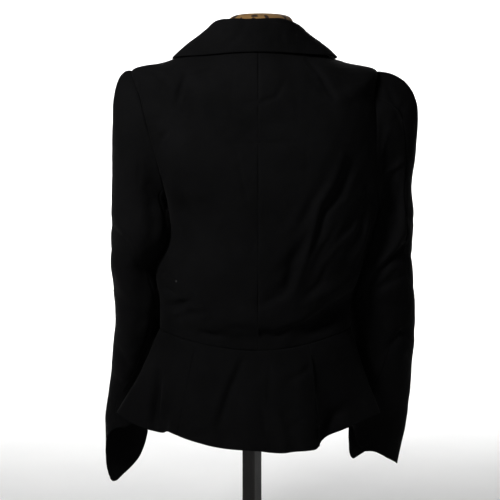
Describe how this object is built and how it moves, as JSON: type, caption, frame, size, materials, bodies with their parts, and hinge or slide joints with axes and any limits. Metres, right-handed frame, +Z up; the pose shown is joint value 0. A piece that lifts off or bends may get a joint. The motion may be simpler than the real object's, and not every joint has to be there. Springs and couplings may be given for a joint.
{
  "type": "blazer on a dress form",
  "caption": "Fitted women's blazer with wide collar, lapels, waist seam and flared peplum, worn by a limbless dress form on a post and round base.",
  "frame": {"origin": "centre of the round base's underside, on the post's axis", "axes": "+Z up along the post, -Y out of the blazer's front, +X towards the wearer's left"},
  "size_m": [0.4967, 0.32, 0.911],
  "materials": {
    "cloth": "black fine wool suiting, dull with a faint sheen",
    "button": "black horn-like resin",
    "form_cover": "golden brown jersey with dark spots",
    "pole": "dark brown-black paint over steel, worn at its edges",
    "base": "satin black enamel"
  },
  "bodies": {
    "root": {"back_left": "cloth", "back_right": "cloth", "button": "button", "collar": "cloth", "form_base": "base", "form_pole": "pole", "form_torso": "form_cover", "front_left": "cloth", "front_right": "cloth", "lapel_left": "cloth", "lapel_right": "cloth", "peplum_back": "cloth", "peplum_front_left": "cloth", "peplum_front_right": "cloth", "sleeve_left_top": "cloth", "sleeve_left_under": "cloth", "sleeve_right_top": "cloth", "sleeve_right_under": "cloth"}
  },
  "joints": []
}
